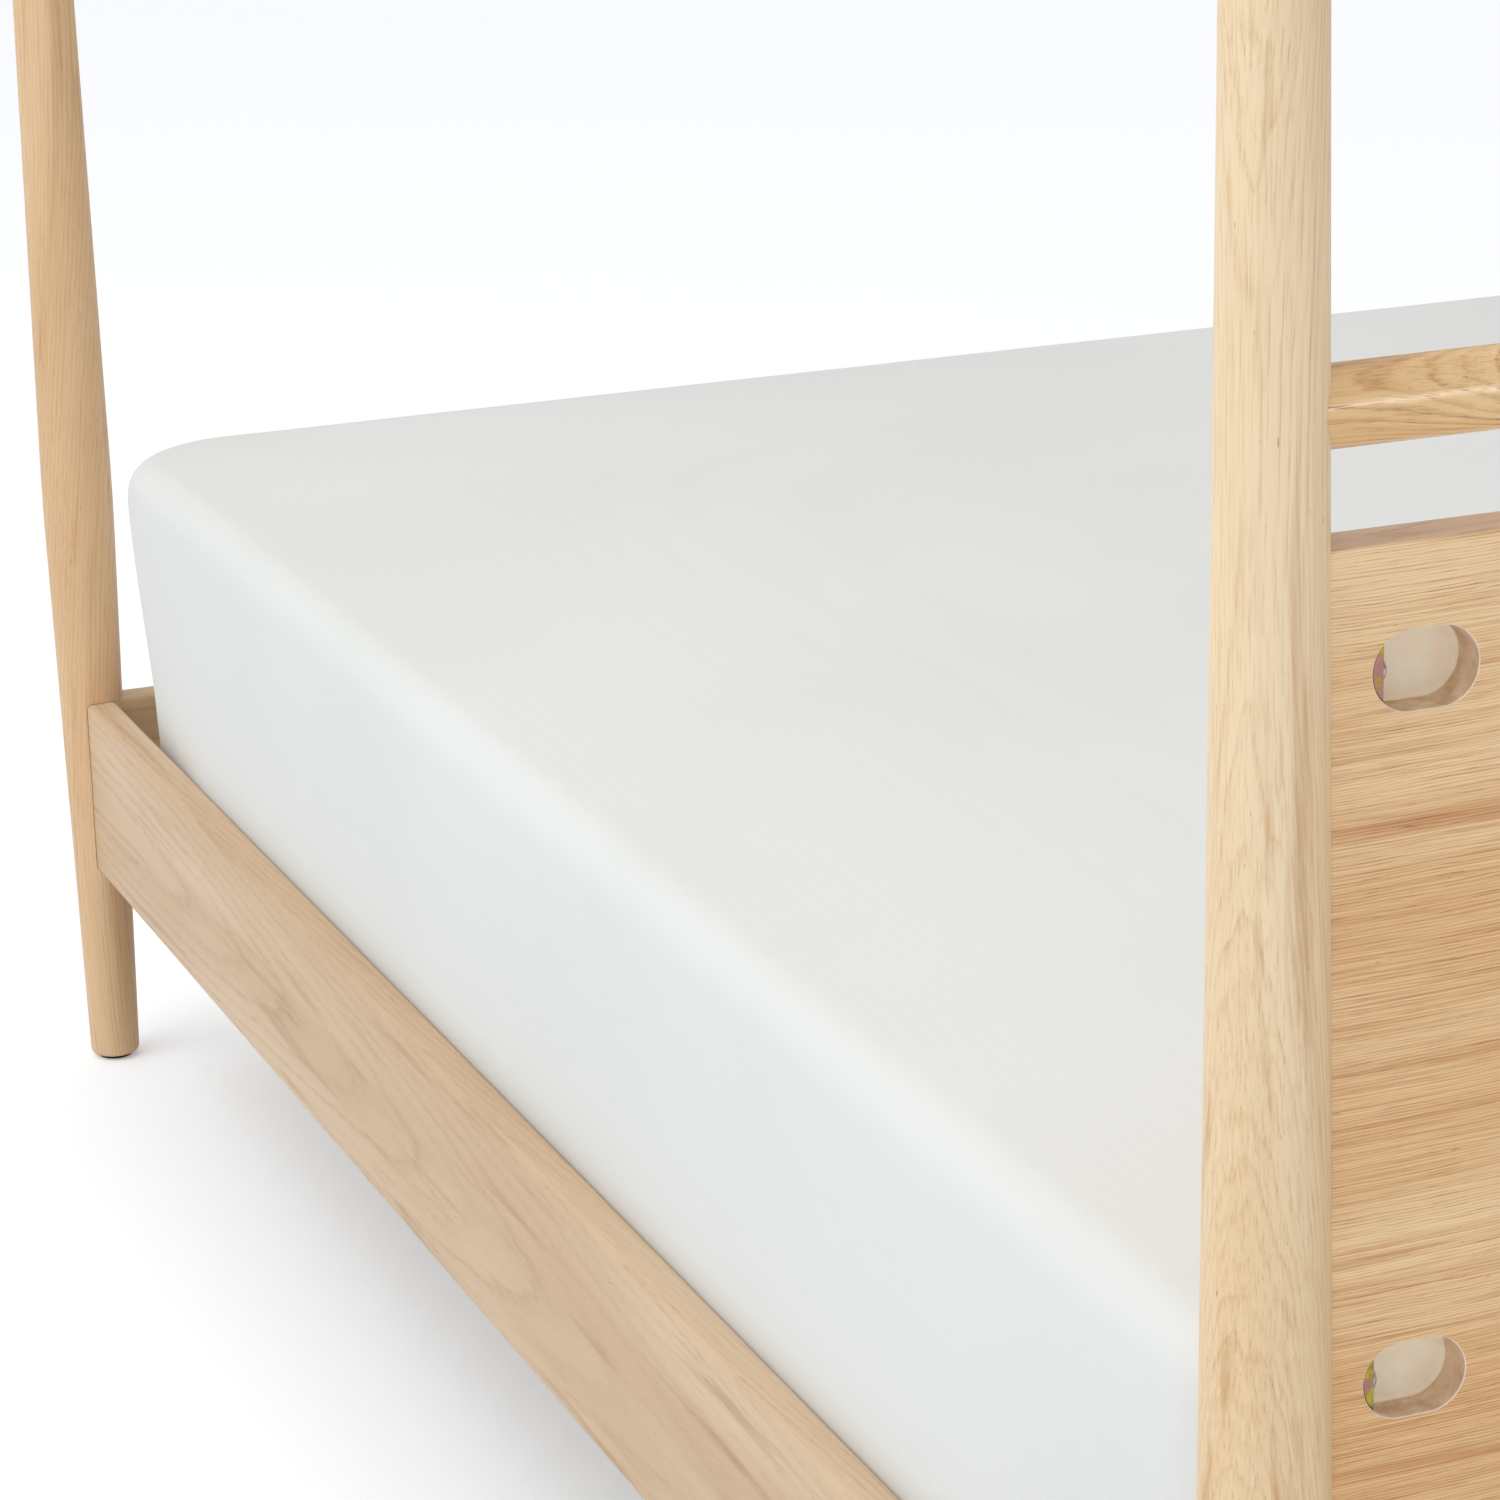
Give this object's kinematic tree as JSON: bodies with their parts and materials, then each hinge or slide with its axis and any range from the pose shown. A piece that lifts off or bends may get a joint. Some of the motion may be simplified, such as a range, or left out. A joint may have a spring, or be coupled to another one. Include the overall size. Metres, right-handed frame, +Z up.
{
  "type": "four poster canopy bed",
  "caption": "Queen four poster bed in pale oak: tapering turned posts, round canopy rails, flat headboard panel under a round rail, slatted base and mattress.",
  "frame": {"origin": "on the floor, under the middle of the bed's outline", "axes": "+Z up, +Y towards the headboard, +X to the right as seen from the foot end"},
  "size_m": [1.6264, 2.1564, 2.03],
  "materials": {
    "oak": "clear matt lacquer on natural oak",
    "slat_wood": "planed, unfinished softwood",
    "zinc": "yellow passivated zinc plate",
    "steel": "bright zinc plated steel",
    "nylon": "moulded, matt",
    "sheet": "white cotton fitted sheet over the mattress"
  },
  "bodies": {
    "bed_frame": {"foot_post_left": "oak", "foot_post_right": "oak", "head_post_left": "oak", "head_post_right": "oak", "glide_foot_left": "nylon", "glide_foot_right": "nylon", "glide_head_left": "nylon", "glide_head_right": "nylon", "side_rail_left": "oak", "side_rail_right": "oak", "foot_rail": "oak", "head_rail": "oak", "side_rail_bolt_foot_left": "zinc", "side_rail_bolt_head_left": "zinc", "side_rail_bolt_foot_right": "zinc", "side_rail_bolt_head_right": "zinc", "foot_rail_bolt_left": "zinc", "foot_rail_bolt_right": "zinc", "head_rail_bolt_left": "zinc", "head_rail_bolt_right": "zinc", "headboard_panel": "oak", "headboard_top_rail": "oak", "half_moon_washer_upper_left": "zinc", "half_moon_washer_lower_left": "zinc", "half_moon_washer_upper_right": "zinc", "half_moon_washer_lower_right": "zinc", "headboard_bolt_upper_left": "steel", "headboard_bolt_lower_left": "steel", "headboard_bolt_upper_right": "steel", "headboard_bolt_lower_right": "steel", "canopy_rail_left": "oak", "canopy_rail_right": "oak", "canopy_rail_foot": "oak", "canopy_rail_head": "oak", "slat_ledge_left": "slat_wood", "slat_ledge_right": "slat_wood", "slat_01": "slat_wood", "slat_02": "slat_wood", "slat_03": "slat_wood", "slat_04": "slat_wood", "slat_05": "slat_wood", "slat_06": "slat_wood", "slat_07": "slat_wood", "slat_08": "slat_wood", "slat_09": "slat_wood", "slat_10": "slat_wood", "slat_11": "slat_wood", "slat_12": "slat_wood", "slat_13": "slat_wood", "beam_bracket_foot": "steel", "beam_bracket_head": "steel", "centre_beam": "slat_wood", "centre_leg_head": "oak", "centre_leg_middle": "oak", "centre_leg_foot": "oak"},
    "mattress_body": {"mattress": "sheet"},
    "foot_screw_head": {"levelling_foot_head": "nylon"},
    "foot_screw_middle": {"levelling_foot_middle": "nylon"},
    "foot_screw_foot": {"levelling_foot_foot": "nylon"}
  },
  "joints": [
    {"name": "mattress_lift", "type": "slide", "parent": "bed_frame", "child": "mattress_body", "axis": [0, 0, 1], "range_m": [0, 0.3]},
    {"name": "levelling_screw_head", "type": "slide", "parent": "bed_frame", "child": "foot_screw_head", "axis": [0, 0, -1], "range_m": [-0.01, 0.015]},
    {"name": "levelling_screw_middle", "type": "slide", "parent": "bed_frame", "child": "foot_screw_middle", "axis": [0, 0, -1], "range_m": [-0.01, 0.015]},
    {"name": "levelling_screw_foot", "type": "slide", "parent": "bed_frame", "child": "foot_screw_foot", "axis": [0, 0, -1], "range_m": [-0.01, 0.015]}
  ]
}
